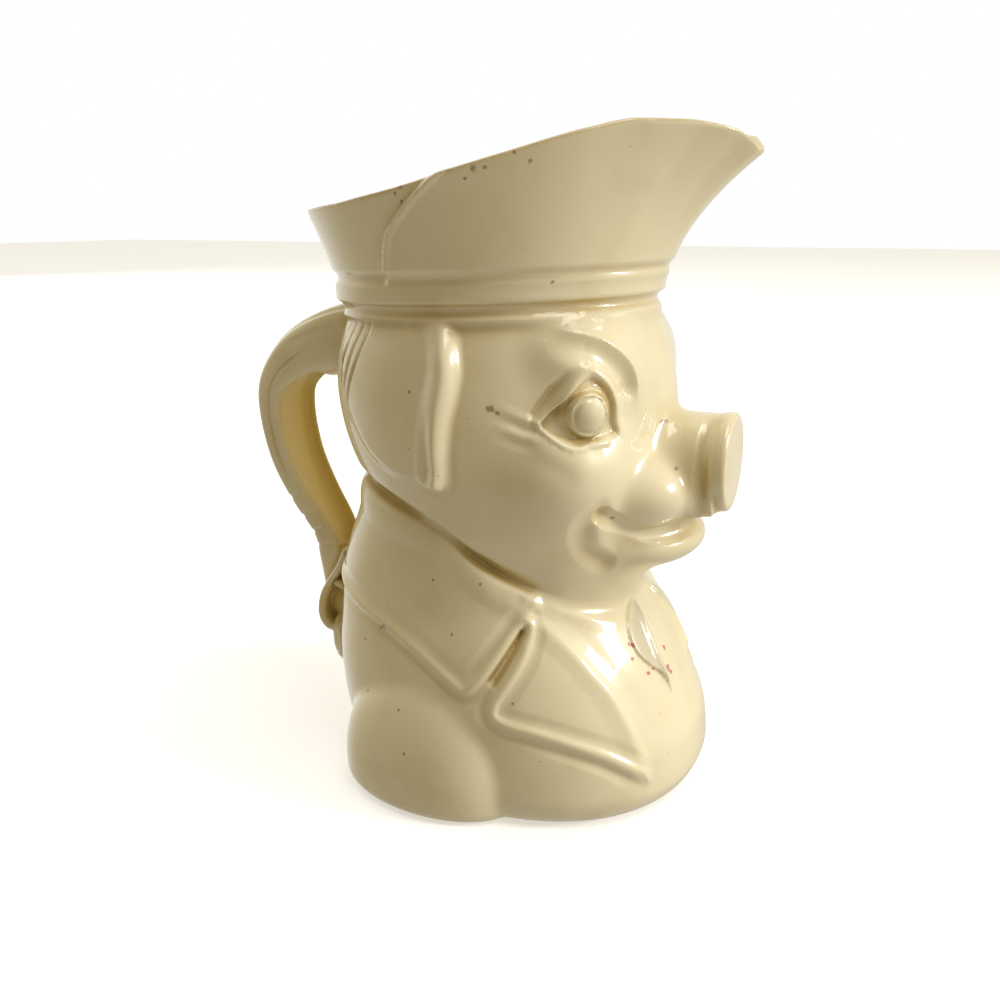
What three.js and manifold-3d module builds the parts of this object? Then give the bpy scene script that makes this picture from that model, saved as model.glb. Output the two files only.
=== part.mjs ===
// Pig toby jug: a slip-cast, glazed earthenware pitcher in one piece. The pig wears a coat with a
// notched collar and lapels, its hat is the open mouth with a pouring lip over the snout, and its
// queue of hair comes away from the head as the handle and ends in a ribbon bow on the coat's back.
// Millimetres. +Z is up, the pig faces -Y, and the origin is the middle of the flat underside.
import * as THREE from 'three'
import { mergeVertices } from 'three/addons/utils/BufferGeometryUtils.js'
import Module from 'manifold-3d'

// ---- driving dimensions -------------------------------------------------------------------
const WALL = 4.6            // cast wall of the coat and head
const BRIM_WALL = 3.3       // wall of the hat, thinner toward the rim
const FLOOR = 5.5           // thickness of the bottom inside the foot
const HEAD_AXIS = 7.4       // the head and hat sit this far behind the middle of the foot
const BAND_Z = 156          // hat band height over the ears
const BAND_HALF = 3.2       // half the band's width
const BAND_TILT = 0.04      // the band rises toward the forehead
const HAT_SIDE = 47         // hat radius at the band, across and fore-aft
const HAT_FORE = 51
const SNOUT_Z = 106         // middle of the snout disc
const SNOUT_TIP = 69.5      // the disc's flat front, ahead of the foot's middle
const SNOUT_R = 14.9        // snout disc radius
const BARREL_R = 14         // snout barrel radius, and its radius in the groove behind the disc
const GROOVE_R = 13
const EYEBALL = [31.5, -32, 125.5]
const IRIS = [33, -31.5, 124.7]
const SKIN_TRIANGLES = 6650 // budget of the carved outer skin
const HOLLOW_TRIANGLES = 900
const LIFT = 1.7            // how far the collar and lapels stand off the coat
const CORD_HEIGHT = 1.3     // the raised cord along their edges, over its half-width
const CORD_HALF = 2.6

// heights -> half-width, reach to the front, reach to the back of the coat
const COAT_SIDE = [[0, 52], [10, 54.5], [30, 54], [50, 50.5], [66, 46], [84, 43.5]]
const COAT_FRONT = [[0, 61.5], [8, 65], [18, 64], [29, 60], [37, 56.5], [45, 52.8], [55, 46.5], [64, 40],
  [72, 36.5], [84, 34]]
const COAT_BACK = [[0, 53], [10, 56], [25, 59.5], [40, 60.5], [60, 59], [75, 55], [84, 51.5], [98, 48]]
// plan angle (0 at the nose, 180 at the nape) -> rim height and rim radius of the hat
const RIM_Z = [[0, 193.6], [10, 198.8], [21, 200.2], [32, 200], [43, 197.8], [64, 192],
  [80, 187.8], [95, 184], [110, 181.5], [124, 179.8], [152, 178.5], [180, 178.5]]
const RIM_R = [[0, 78.4], [8, 76], [21, 67.8], [43, 59.6], [75, 54.6], [114, 55.4], [152, 59], [180, 61.5]]
// cut of the coat, laid out as plan angle by height: the collar's top edge under the jowls, the
// one cord that follows collar and lapel, the lapel's roll line, and the tie
const COLLAR_TOP = [[0, 66], [38, 67.5], [60, 70], [71, 73], [83, 78], [97, 86], [130, 94], [150, 96.5],
  [180, 97]]
const COLLAR_CORD = [[205, 66], [165, 63.5], [132, 59], [116, 55.5], [103, 50.5], [90, 43.5], [85, 41.5],
  [80.5, 45], [75, 52], [69.5, 58.5], [65.5, 62]]
const LAPEL_CORD = [[65.5, 62], [63.6, 60.5], [66, 54], [70.5, 47], [75.3, 40], [75.5, 35.5], [71, 33],
  [62, 31], [53, 28], [44, 24], [37, 19.5], [30, 13.5]]
const ROLL = [[30, 16], [31.5, 22], [33.5, 29], [36, 36], [39, 42], [43, 47], [48, 53], [55, 59], [66, 65.5]]
const TIE = [[9, 62.8], [18, 59], [23.3, 53], [19.8, 44.1], [14, 36.5], [11, 43.8], [6, 56]]
// outline of the lop ear seen from the side, as Y by Z
const EAR = [[2, 154], [-1.5, 144], [-3, 128], [-1.8, 111], [1, 102], [8, 101.8], [17, 104.5], [25, 109.5],
  [34, 119], [46, 138], [46, 154]]
// the queue: Y, Z, half-width across, half-thickness
const QUEUE = [[45, 139, 12, 12], [63.7, 136.2, 12, 11.8], [79.5, 130.3, 12, 10], [89.8, 120.5, 12, 7.8],
  [91.6, 109, 12, 6.9], [88.2, 93.5, 11.6, 6.2], [81.4, 80.2, 10.6, 5.8], [73.6, 68, 9.2, 5.6],
  [69, 56.5, 8.8, 6.4], [66, 46, 8, 6]]

// ---- small maths ----------------------------------------------------------------------------
const { abs, min, max, sqrt, hypot, sin, cos, atan2, PI } = Math
const clamp = (t, a, b) => min(max(t, a), b)
const rad = PI / 180
const join = (a, b, k) => { const h = max(k - abs(a - b), 0) / k; return min(a, b) - h * h * k / 4 }
const cut = (a, b, k) => -join(-a, -b, k)

// smooth monotone curve through [t, value] knots
function through(knots) {
  const T = knots.map(k => k[0]), V = knots.map(k => k[1]), n = T.length
  const d = T.slice(1).map((t, i) => (V[i + 1] - V[i]) / (t - T[i]))
  const m = T.map((_, i) => i === 0 ? d[0] : i === n - 1 ? d[n - 2]
    : d[i - 1] * d[i] <= 0 ? 0 : 2 * d[i - 1] * d[i] / (d[i - 1] + d[i]))
  return t => {
    t = clamp(t, T[0], T[n - 1])
    let i = 0
    while (i < n - 2 && t >= T[i + 1]) i++
    const h = T[i + 1] - T[i], u = (t - T[i]) / h
    return (1 + 2 * u) * (1 - u) ** 2 * V[i] + u * (1 - u) ** 2 * h * m[i]
      + u * u * (3 - 2 * u) * V[i + 1] + u * u * (u - 1) * h * m[i + 1]
  }
}

// signed distance to a closed outline, negative inside
function outline(u, v, pts) {
  let d = 1e9, s = 1
  for (let i = 0, j = pts.length - 1; i < pts.length; j = i++) {
    const [ax, ay] = pts[i], [bx, by] = pts[j]
    const ex = bx - ax, ey = by - ay, wx = u - ax, wy = v - ay
    const t = clamp((wx * ex + wy * ey) / (ex * ex + ey * ey), 0, 1)
    d = min(d, (wx - ex * t) ** 2 + (wy - ey * t) ** 2)
    const c1 = v >= ay, c2 = v < by, c3 = ex * wy > ey * wx
    if ((c1 && c2 && c3) || (!c1 && !c2 && !c3)) s = -s
  }
  return s * sqrt(d)
}

// distance to an open line through points of two or three coordinates
function along(p, pts) {
  let best = 1e9
  for (let i = 1; i < pts.length; i++) {
    const a = pts[i - 1], e = pts[i].map((c, k) => c - a[k]), w = p.map((c, k) => c - a[k])
    const dot = (q, r) => q.reduce((s, c, k) => s + c * r[k], 0)
    const t = clamp(dot(w, e) / dot(e, e), 0, 1)
    best = min(best, w.reduce((s, c, k) => s + (c - e[k] * t) ** 2, 0))
  }
  return sqrt(best)
}
const bead = (d, w) => { const t = clamp(d / w, 0, 1); return (1 - t * t) ** 2 }
const step = (d, w) => { const t = clamp(0.5 - d / w, 0, 1); return t * t * (3 - 2 * t) }

// near-distance to an ellipsoid with its middle at c and half-axes r, turned about Z
function egg(x, y, z, c, r, turn = 0) {
  x -= c[0]; y -= c[1]; z -= c[2]
  const ct = cos(turn * rad), st = sin(turn * rad)
  ;[x, y] = [x * ct + y * st, -x * st + y * ct]
  const k0 = hypot(x / r[0], y / r[1], z / r[2])
  return k0 * (k0 - 1) / (hypot(x / r[0] ** 2, y / r[1] ** 2, z / r[2] ** 2) + 1e-9)
}

// near-distance to a soft-cornered ring: half-width A, reach F to the front and K to the back
function ring(x, y, A, F, K, n) {
  const B = (K + F) / 2, px = abs(x) / A, py = abs(y - (K - F) / 2) / B
  const rho = (px ** n + py ** n + 1e-9) ** (1 / n)
  const g = hypot(px ** (n - 1) / A, py ** (n - 1) / B) * rho ** (1 - n)
  return (rho - 1) / max(g, 1 / (1.3 * max(A, B)))
}
const planAngle = (x, y) => atan2(abs(x), -y) / rad

// ---- the forms ------------------------------------------------------------------------------
const coatSide = through(COAT_SIDE), coatFront = through(COAT_FRONT), coatBack = through(COAT_BACK)
const rimHeight = through(RIM_Z), rimRadius = through(RIM_R)
const plainCoat = (x, y, z) => 0.97 * ring(x, y, coatSide(z), coatFront(z), coatBack(z), 2.25)

// collar, lapels and tie stand off the coat, and the cord runs along the collar and lapel edges
const collarTop = through(COLLAR_TOP)
const collarCloth = [[210, 110], [64, 110], ...COLLAR_CORD.slice().reverse()]
const lapelCloth = [...ROLL, ...LAPEL_CORD]
function coatLift(x, y, z) {
  const th = planAngle(x, y), at = [th, z]
  const cloth = LIFT * step(min(outline(th, z, collarCloth), outline(th, z, lapelCloth)), 3.5)
  const cord = min(along(at, COLLAR_CORD), along(at, LAPEL_CORD))
  const roll = bead(along(at, ROLL), 6)
  return cloth + CORD_HEIGHT * bead(cord, CORD_HALF) + 0.8 * roll + 1.6 * step(outline(th, z, TIE), 3.5)
}
function coat(x, y, z) {
  const f = cut(plainCoat(x, y, z) - coatLift(x, y, z), z - collarTop(planAngle(x, y)), 5)
  const sleeve = egg(abs(x), y, z, [42, 12, 8], [19.5, 32, 36], 8)
  return cut(join(f, sleeve, 2), -z, 4)
}
function plainHead(x, y, z) {
  let f = egg(x, y, z, [0, 5.5, 126], [50, 54.5, 50])
  f = join(f, egg(x, y, z, [0, 1, 110], [49, 49, 40]), 10)
  f = join(f, egg(x, y, z, [0, -6, 98], [44, 46, 30]), 10)
  f = join(f, egg(x, y, z, [0, -5, 89], [44.5, 45.5, 17.5]), 8)              // jowls
  f = join(f, egg(x, y, z, [0, -4, 80], [37, 41, 18]), 6)
  return join(f, max(ring(x, y, 40.5, 42.5, 46, 2.2), abs(z - 72) - 14), 8)  // neck
}
function face(x, y, z) {
  let f = plainHead(x, y, z)
  f = join(f, egg(x, y, z, [27, -24, 105], [20, 20, 19]), 8)          // cheek
  f = join(f, egg(x, y, z, [0, -38, 100], [27, 22, 13]), 8)           // muzzle
  f = join(f, egg(x, y, z, [15, -45, 98], [13.5, 14, 10]), 3)         // upper lip pads
  f = join(f, egg(x, y, z, [0, -46, 98], [14, 20.5, 10.5]), 4)        // lip under the snout
  f = join(f, egg(x, y, z, [0, -39, 81.5], [26, 22.5, 9.5]), 5)       // lower lip and chin
  f = join(f, egg(x, y, z, [0, -24, 78], [32, 22, 13]), 9)            // under the chin
  f = join(f, egg(x, y, z, [21, -28, 138], [18, 12, 11]), 10)          // brow
  const mouth = [[0, -62, 89], [9, -60, 88.4], [16, -56, 87.9], [22, -51, 88.6], [28, -45.5, 91],
    [33.5, -41.5, 94.2], [35.5, -40, 95.8]]
  const lid = [[43.7, -23.4, 122.5], [40.8, -27.1, 128.2], [39.2, -31.5, 133.5], [37.1, -35, 137.8],
    [33, -38.3, 135], [29.5, -40.3, 130], [28.3, -42.5, 118]]
  const lowerLid = [[43.8, -23.7, 121.5], [42.5, -30.8, 117], [38.9, -35.3, 116.3], [31.3, -41.2, 117]]
  const browEdge = [[36.8, -25.3, 147.9], [31.5, -36.6, 144.6], [25, -42.2, 139], [21.1, -44.6, 128.2],
    [25.6, -43, 121.4]]
  const socket = [[37, -29, 142.5], [31, -37.5, 140], [26.5, -41.5, 134], [25, -43, 126]]
  const p = [x, y, z]
  f += 2.6 * bead(along(p, mouth), 3.6) + 1.6 * bead(along(p, socket), 4) - 1.2 * bead(along(p, browEdge), 4)
  f -= 1.9 * bead(along(p, lid), 3) + 1.1 * bead(along(p, lowerLid), 2.8)
  f = join(f, egg(x, y, z, EYEBALL, [11, 9, 11.5]), 1)
  return join(f, egg(x, y, z, IRIS, [6, 6, 6.4]), 0.6)
}
// the ear's flap melts into the head at its back and top; its front edge and hem are rolled
function ear(x, y, z) {
  if (x < 20) return 30
  const edge = along([y, z], [[3, 150], [1, 142], [0.2, 132], [1.2, 120], [1.8, 110], [2.8, 104]])
  const hem = along([y, z], [[4, 103.5], [9, 104], [16, 106], [23, 109.5], [30, 115.5]])
  const back = clamp((40 - y) / 22, 0, 1), top = clamp((153 - z) / 14, 0, 1)
  const lift = (2.4 * back + 3.2 * bead(edge, 7)) * top * (2 - top) + 1.3 * bead(hem, 5)
  return cut(plainHead(x, y, z) - lift, outline(y, z, EAR), 2.5)
}

// outer radius of the hat at a plan angle and height: it flares to the rim and the pouring lip
function hatRadius(th, z) {
  const base = 1 / hypot(sin(th * rad) / HAT_SIDE, cos(th * rad) / HAT_FORE)
  const low = BAND_Z - 3, u = clamp((z - low) / (rimHeight(th) - low), 0, 1.2)
  return base + (rimRadius(th) - base) * u ** lipCurl(th)
}
const lipCurl = through([[0, 1.95], [25, 1.7], [60, 1.4], [180, 1.3]])
const overlap = through([[150, 108], [158, 107], [170, 103], [178, 95], [186, 85], [192, 78], [205, 62]])
function hat(x, y, z) {
  const th = planAngle(x, y - HEAD_AXIS), rho = hypot(x, y - HEAD_AXIS)
  const lap = clamp(0.5 - (th - overlap(z)) * 0.9 / 3.5, 0, 1) * clamp((z - 157) / 4, 0, 1)
  const crown = cut(0.84 * (rho - hatRadius(th, z) - 1.7 * lap), 146 - z, 4)
  const band = cut(rho - hatRadius(th, BAND_Z - 3) - 1.2, abs(z - BAND_Z + BAND_TILT * y) - BAND_HALF, 2)
  return join(crown, band, 1.5)
}
function skin(x, y, z) {
  x = abs(x)
  const head = join(face(x, y, z), ear(x, y, z), 1)
  return join(join(coat(x, y, z), head, 2.5), hat(x, y, z), 2)
}
// the hollow follows the coat, neck, head and hat, a wall's thickness inside them
function hollow(x, y, z) {
  const th = planAngle(x, y - HEAD_AXIS)
  const inHat = max(0.84 * (hypot(x, y - HEAD_AXIS) - hatRadius(th, z) + BRIM_WALL), 150 - z)
  const inHead = max(plainHead(x, y, z) + WALL, z - 154)
  const inCoat = cut(plainCoat(x, y, z) + WALL, z - 78, 6)
  return join(join(inCoat, inHead, 8), inHat, 5)
}

// ---- skins: a lathe turned about the jug's axis, each vertex carried out to the form -----------
const axisY = through([[0, 0], [60, 3], [100, 10], [160, HEAD_AXIS]])

// distance from the axis to the surface of a form, found from the far side
function reach(form, th, z, from, to) {
  const y0 = axisY(z), dx = sin(th * rad), dy = -cos(th * rad), way = Math.sign(to - from)
  const at = r => form(dx * r, y0 + dy * r, z)
  let r = from, f = at(r), side = Math.sign(f), last = r
  while (Math.sign(f) === side && (to - r) * way > 0) {
    last = r
    r += way * clamp(abs(f) * 0.6, 0.5, 12)
    f = at(r)
  }
  for (let i = 0; i < 14; i++) {
    const m = (last + r) / 2
    if (Math.sign(at(m)) === side) last = m; else r = m
  }
  return (last + r) / 2
}

// A LatheGeometry of the given rows; place(row, angle) gives each vertex its radius and height.
function wrappedLathe(rows, columns, place) {
  const profile = Array.from({ length: rows }, (_, j) => new THREE.Vector2(j && j < rows - 1 ? 1 : 0, j))
  const lathe = new THREE.LatheGeometry(profile, columns)
  const p = lathe.attributes.position
  for (let i = 0; i <= columns; i++) {
    const th = 360 * (i % columns) / columns
    for (let j = 0; j < rows; j++) {
      const [r, z] = place(j, th)
      p.setXYZ(i * rows + j, -sin(th * rad) * r, axisY(z) - cos(th * rad) * r, z)
    }
  }
  return lathe
}
const levelsBetween = (a, b, n) => Array.from({ length: n + 1 }, (_, i) => a + (b - a) * i / n)

function outerSkin() {
  const levels = [0, 1, 2.5, 4.5].concat(levelsBetween(7, 150, 82))
  const bandRows = [-4.4, -3.4, -2.6, -1.4, 0, 1.4, 2.6, 3.4, 4.4]
  const hatRows = levelsBetween(0.06, 1, 17).concat([0.985]).sort((a, b) => a - b)
  const fromHat = 1 + levels.length + bandRows.length
  const rows = fromHat + hatRows.length + 1
  return wrappedLathe(rows, 200, (j, th) => {
    const fold = min(th, 360 - th)
    if (j === 0) return [0, 0]
    if (j === rows - 1) return [0, 190]
    if (j <= levels.length) return [reach(skin, th, levels[j - 1], 96, 5), levels[j - 1]]
    const bandZ = BAND_Z + BAND_TILT * (HAT_FORE * cos(th * rad) - HEAD_AXIS)
    if (j < fromHat) {
      const z = bandZ + bandRows[j - 1 - levels.length]
      return [reach(skin, th, z, 96, 5), z]
    }
    const u = hatRows[j - fromHat], low = bandZ + 4.4, z = low + (rimHeight(fold) - low) * u
    return [reach(skin, th, z, 96, 5) - (u === 1 ? 0.9 : 0), z]
  })
}

function innerSkin() {
  const levels = [FLOOR, FLOOR + 1, FLOOR + 4].concat(levelsBetween(FLOOR + 9, 153, 26))
  const flare = levelsBetween(0.1, 1, 9).concat([1.1])
  const rows = levels.length + flare.length + 2
  return wrappedLathe(rows, 80, (j, th) => {
    const fold = min(th, 360 - th)
    if (j === 0) return [0, FLOOR]
    if (j === rows - 1) return [0, 215]
    if (j <= levels.length) {
      const z = levels[j - 1]
      return [reach(hollow, th, max(z, FLOOR + 4), 4, 90) - (j === 1 ? 4 : j === 2 ? 1.2 : 0), z]
    }
    const u = flare[j - 1 - levels.length], z = 153 + (rimHeight(fold) - 153) * u
    const r = reach(hollow, th, min(z, rimHeight(fold)), 4, 110)
    return [u > 1 ? r + 1.5 : r, z]
  })
}

// ---- thinning: quadric edge collapse, so that flat glaze takes few triangles and carving many ----
function thin(geometry, budget) {
  const { position, index } = weld(geometry)
  const P = [], faces = [], around = []
  for (let i = 0; i < position.length; i += 3) P.push(Array.from(position.slice(i, i + 3)))
  P.forEach(() => around.push(new Set()))
  const sub = (a, b) => [a[0] - b[0], a[1] - b[1], a[2] - b[2]]
  const dot = (a, b) => a[0] * b[0] + a[1] * b[1] + a[2] * b[2]
  const cross = (a, b) => [a[1] * b[2] - a[2] * b[1], a[2] * b[0] - a[0] * b[2], a[0] * b[1] - a[1] * b[0]]
  const normal = (a, b, c) => cross(sub(b, a), sub(c, a))
  const Q = P.map(() => new Float64Array(10))
  for (let i = 0; i < index.length; i += 3) {
    const t = [index[i], index[i + 1], index[i + 2]]
    t.forEach(v => around[v].add(faces.length))
    faces.push(t)
    const n = normal(P[t[0]], P[t[1]], P[t[2]]), area = hypot(...n) || 1e-12
    const [a, b, c] = n.map(v => v / area), d = -dot([a, b, c], P[t[0]])
    const q = [a * a, a * b, a * c, a * d, b * b, b * c, b * d, c * c, c * d, d * d]
    t.forEach(v => q.forEach((x, k) => { Q[v][k] += x * area }))
  }
  const cost = (q, [x, y, z]) => q[0] * x * x + 2 * q[1] * x * y + 2 * q[2] * x * z + 2 * q[3] * x
    + q[4] * y * y + 2 * q[5] * y * z + 2 * q[6] * y + q[7] * z * z + 2 * q[8] * z + q[9]
  const best = (u, v) => {
    const q = Q[u].map((x, k) => x + Q[v][k])
    const r0 = [q[0], q[1], q[2]], r1 = [q[1], q[4], q[5]], r2 = [q[2], q[5], q[7]]
    const det = dot(r0, cross(r1, r2)), mid = P[u].map((x, k) => (x + P[v][k]) / 2)
    const span = hypot(...sub(P[u], P[v])), options = [mid, P[u], P[v]]
    if (abs(det) > 1e-7 * (q[0] + q[4] + q[7]) ** 3) {
      const h = [-q[3], -q[6], -q[8]]
      const x = [dot(h, cross(r1, r2)), dot(r0, cross(h, r2)), dot(r0, cross(r1, h))].map(k => k / det)
      if (hypot(...sub(x, mid)) < span) options.unshift(x)
    }
    let pick = options[0], least = Infinity
    for (const o of options) { const c = cost(q, o); if (c < least - 1e-12) [pick, least] = [o, c] }
    return { u, v, at: pick, cost: max(least, 0) + 2e-4 * span * span, q }
  }
  // a binary heap of candidate collapses; stale ones are skipped by their stamps
  const heap = [], stamp = P.map(() => 0)
  const push = e => {
    e.su = stamp[e.u]; e.sv = stamp[e.v]
    let i = heap.push(e) - 1
    while (i && heap[(i - 1) >> 1].cost > e.cost) { heap[i] = heap[(i - 1) >> 1]; i = (i - 1) >> 1 }
    heap[i] = e
  }
  const pop = () => {
    const top = heap[0], e = heap.pop()
    if (heap.length) {
      let i = 0
      for (;;) {
        let k = 2 * i + 1
        if (k >= heap.length) break
        if (k + 1 < heap.length && heap[k + 1].cost < heap[k].cost) k++
        if (heap[k].cost >= e.cost) break
        heap[i] = heap[k]; i = k
      }
      heap[i] = e
    }
    return top
  }
  const neighbours = v => {
    const found = new Set()
    around[v].forEach(f => faces[f].forEach(w => found.add(w)))
    found.delete(v)
    return found
  }
  P.forEach((_, u) => neighbours(u).forEach(v => { if (u < v) push(best(u, v)) }))
  let left = faces.length
  while (left > budget && heap.length) {
    const e = pop(), { u, v } = e
    if (stamp[u] !== e.su || stamp[v] !== e.sv || stamp[u] < 0 || stamp[v] < 0) continue
    const nu = neighbours(u), nv = neighbours(v), shared = [...nu].filter(w => nv.has(w))
    if (shared.length !== 2) continue
    let folds = false
    for (const [a, b] of [[u, v], [v, u]]) for (const f of around[a]) {
      if (faces[f].includes(b)) continue
      const old = normal(...faces[f].map(w => P[w]))
      const now = normal(...faces[f].map(w => w === a ? e.at : P[w]))
      const lo = hypot(...old), ln = hypot(...now)
      if (ln < 1e-3 || dot(old, now) < 0.35 * lo * ln) folds = true
    }
    if (folds) continue
    P[u] = e.at; Q[u] = e.q; stamp[v] = -1; stamp[u]++
    for (const f of [...around[v]]) {
      if (faces[f].includes(u)) { faces[f].forEach(w => around[w].delete(f)); faces[f] = null; left-- }
      else { faces[f] = faces[f].map(w => w === v ? u : w); around[u].add(f) }
    }
    neighbours(u).forEach(w => push(best(u, w)))
  }
  const flat = P.flatMap(([x, y, z]) => [x, y, abs(z) < 0.03 ? 0 : z])
  return { position: new Float32Array(flat), index: faces.filter(f => f).flat() }
}

// ---- snout, queue and bow ---------------------------------------------------------------------
// revolved about the snout's own axis: barrel, groove and flat-faced disc
function snout() {
  const d = SNOUT_TIP, back = 36
  const profile = [[0, back], [BARREL_R, back], [BARREL_R, d - 8], [GROOVE_R, d - 6], [GROOVE_R, d - 5],
    [SNOUT_R - 0.5, d - 3.8], [SNOUT_R, d - 2.6], [SNOUT_R - 0.3, d - 0.9], [SNOUT_R - 1.6, d], [0, d]]
  const g = new THREE.LatheGeometry(profile.map(p => new THREE.Vector2(...p)), 24)
  return g.rotateX(PI).translate(0, 0, SNOUT_Z)
}

// a loft along a path in the middle plane: an extruded soft-cornered section whose rings are resized
// at each station to the half-width across and the half-thickness given with the path
const soft = t => Math.sign(t) * abs(t) ** 0.72
function loft(stops, sides, steps) {
  const path = new THREE.CatmullRomCurve3(stops.map(q => new THREE.Vector3(0, q[0], q[1])))
  const section = new THREE.Shape(Array.from({ length: sides }, (_, i) =>
    new THREE.Vector2(soft(cos(2 * PI * i / sides)), soft(sin(2 * PI * i / sides)))))
  const g = new THREE.ExtrudeGeometry(section, { steps, extrudePath: path, bevelEnabled: false })
  const p = g.attributes.position, v = new THREE.Vector3()
  const stations = path.getSpacedPoints(steps)
  const wide = through(stops.map((q, i) => [i, q[2]])), thick = through(stops.map((q, i) => [i, q[3]]))
  for (let i = 0; i < p.count; i++) {
    v.fromBufferAttribute(p, i)
    let k = 0
    stations.forEach((s, n) => { if (s.distanceTo(v) < stations[k].distanceTo(v)) k = n })
    const s = stations[k], t = (stops.length - 1) * k / steps
    const w = wide(t), h = thick(t)
    p.setXYZ(i, v.x * w, s.y + (v.y - s.y) * h, s.z + (v.z - s.z) * h)
  }
  return g
}

// the channel down the inner side of the queue, between its two rolled edges
function channel() {
  const inner = QUEUE.slice(2, 8).map((q, i) => {
    const [y0, z0] = QUEUE[i + 1], [y1, z1] = QUEUE[i + 3], l = hypot(y1 - y0, z1 - z0)
    return [q[0] + (z1 - z0) / l * q[3], q[1] - (y1 - y0) / l * q[3], q[2] - 2, i && i < 5 ? 7 : 5]
  })
  return loft(inner, 10, 12)
}

// one soft lump of the ribbon: a stretched sphere
function lump(x, y, z, rx, ry, rz, lean = 0) {
  return new THREE.SphereGeometry(1, 12, 7).scale(rx, ry, rz).rotateX(lean * rad).translate(x, y, z)
}

// the shared corners of a geometry merged, without the empty triangles at its poles
function weld(geometry) {
  const g = geometry.clone()
  for (const name of Object.keys(g.attributes)) if (name !== 'position') g.deleteAttribute(name)
  const m = mergeVertices(g, 1e-4), all = Array.from(m.index.array), index = []
  for (let i = 0; i < all.length; i += 3) {
    const [a, b, c] = all.slice(i, i + 3)
    if (a !== b && b !== c && c !== a) index.push(a, b, c)
  }
  return { position: m.attributes.position.array, index }
}

// ---- assembly -----------------------------------------------------------------------------------
const wasm = await Module()
wasm.setup()

function solid({ position, index }) {
  const tris = Array.from(index), at = k => new THREE.Vector3(...position.slice(3 * k, 3 * k + 3))
  let volume = 0
  for (let i = 0; i < tris.length; i += 3) volume += at(tris[i]).dot(at(tris[i + 1]).cross(at(tris[i + 2])))
  if (volume < 0) for (let i = 0; i < tris.length; i += 3) [tris[i], tris[i + 1]] = [tris[i + 1], tris[i]]
  return new wasm.Manifold(new wasm.Mesh({
    numProp: 3, vertProperties: new Float32Array(position), triVerts: new Uint32Array(tris)
  }))
}

function toGeometry(manifold) {
  const m = manifold.getMesh()
  const g = new THREE.BufferGeometry()
  g.setAttribute('position', new THREE.BufferAttribute(new Float32Array(m.vertProperties), 3))
  g.setIndex(Array.from(m.triVerts))
  g.computeVertexNormals()
  return g
}

function jug() {
  let body = solid(thin(outerSkin(), SKIN_TRIANGLES))
  const parts = [snout(), lump(0, 59, 54, 8, 13, 9)]          // web from queue to coat
  for (const side of [-1, 1]) {
    parts.push(lump(side * 9.5, 63, 42, 7, 8.5, 10.5, 8))              // bow loops
    parts.push(lump(side * 9.5, 61.5, 29, 6.5, 7, 10, 8))              // ribbon ends
  }
  for (const g of parts) body = body.add(solid(weld(g)))
  body = body.add(solid(weld(loft(QUEUE, 14, 20))).subtract(solid(weld(channel()))))
  return toGeometry(body.subtract(solid(thin(innerSkin(), HOLLOW_TRIANGLES))))
}

const glaze = new THREE.MeshStandardMaterial({ color: 0xefe5c6, roughness: 0.12, metalness: 0 })
const group = new THREE.Group()
const pig = new THREE.Mesh(jug(), glaze)
pig.name = 'pig_toby_jug'
group.add(pig)

export default group
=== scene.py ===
"""Looks of the pig toby jug: a glazed earthenware pitcher, carved as one field of distances in
millimetres and meshed finely, so that cloth edges, face, ears and ribbon are real relief.
The pig faces -Y. Its shape is the same left and right; its specks and paint spots are not."""
import math

import bpy
import numpy as np
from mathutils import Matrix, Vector


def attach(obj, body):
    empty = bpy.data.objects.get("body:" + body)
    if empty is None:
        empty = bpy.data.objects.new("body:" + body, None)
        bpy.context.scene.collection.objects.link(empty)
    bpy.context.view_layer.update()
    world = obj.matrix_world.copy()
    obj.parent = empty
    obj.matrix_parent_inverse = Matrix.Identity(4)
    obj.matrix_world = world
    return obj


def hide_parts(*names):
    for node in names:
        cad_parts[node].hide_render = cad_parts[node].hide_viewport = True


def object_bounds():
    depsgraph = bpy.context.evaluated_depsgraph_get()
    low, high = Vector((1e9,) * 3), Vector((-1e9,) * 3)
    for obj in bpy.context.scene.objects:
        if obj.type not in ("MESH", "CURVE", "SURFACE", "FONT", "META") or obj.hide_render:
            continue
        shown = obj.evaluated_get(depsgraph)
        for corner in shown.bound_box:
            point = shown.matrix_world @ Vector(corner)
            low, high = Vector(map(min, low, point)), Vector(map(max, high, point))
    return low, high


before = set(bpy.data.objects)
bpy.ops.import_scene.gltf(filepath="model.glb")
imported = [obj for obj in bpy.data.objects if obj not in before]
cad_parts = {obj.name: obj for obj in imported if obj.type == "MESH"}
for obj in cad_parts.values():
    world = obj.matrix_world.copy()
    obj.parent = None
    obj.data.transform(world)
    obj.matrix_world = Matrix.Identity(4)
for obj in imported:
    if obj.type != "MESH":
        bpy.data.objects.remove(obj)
cad_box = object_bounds()

MM = 0.001
CELL = 0.72      # size of the meshing's finest cell
TRIANGLES = 190000
FAR = 30.0              # a field's value well away from the form that it describes

WALL = 4.6              # thickness of the clay in the coat and the head
HAT_WALL = 3.3
BASE = 5.5              # thickness of the bottom
HAT_CENTRE = 7.4        # the hat's axis lies this far behind the coat's
HAT_FOOT = 153          # height where the hat starts to flare
HAT_BAND = 156          # height of the middle of its band
SNOUT_AXIS = 106        # height of the snout's axis
SNOUT_FOOT = 90.5       # height that its barrel reaches down to


# ---- small maths, in millimetres --------------------------------------------------------------
def join(a, b, k):
    """Smooth union of two fields, blended over k."""
    h = np.maximum(k - np.abs(a - b), 0) / k
    return np.minimum(a, b) - h * h * k / 4


def cut(a, b, k):
    """Smooth intersection of two fields."""
    return -join(-a, -b, k)


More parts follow.
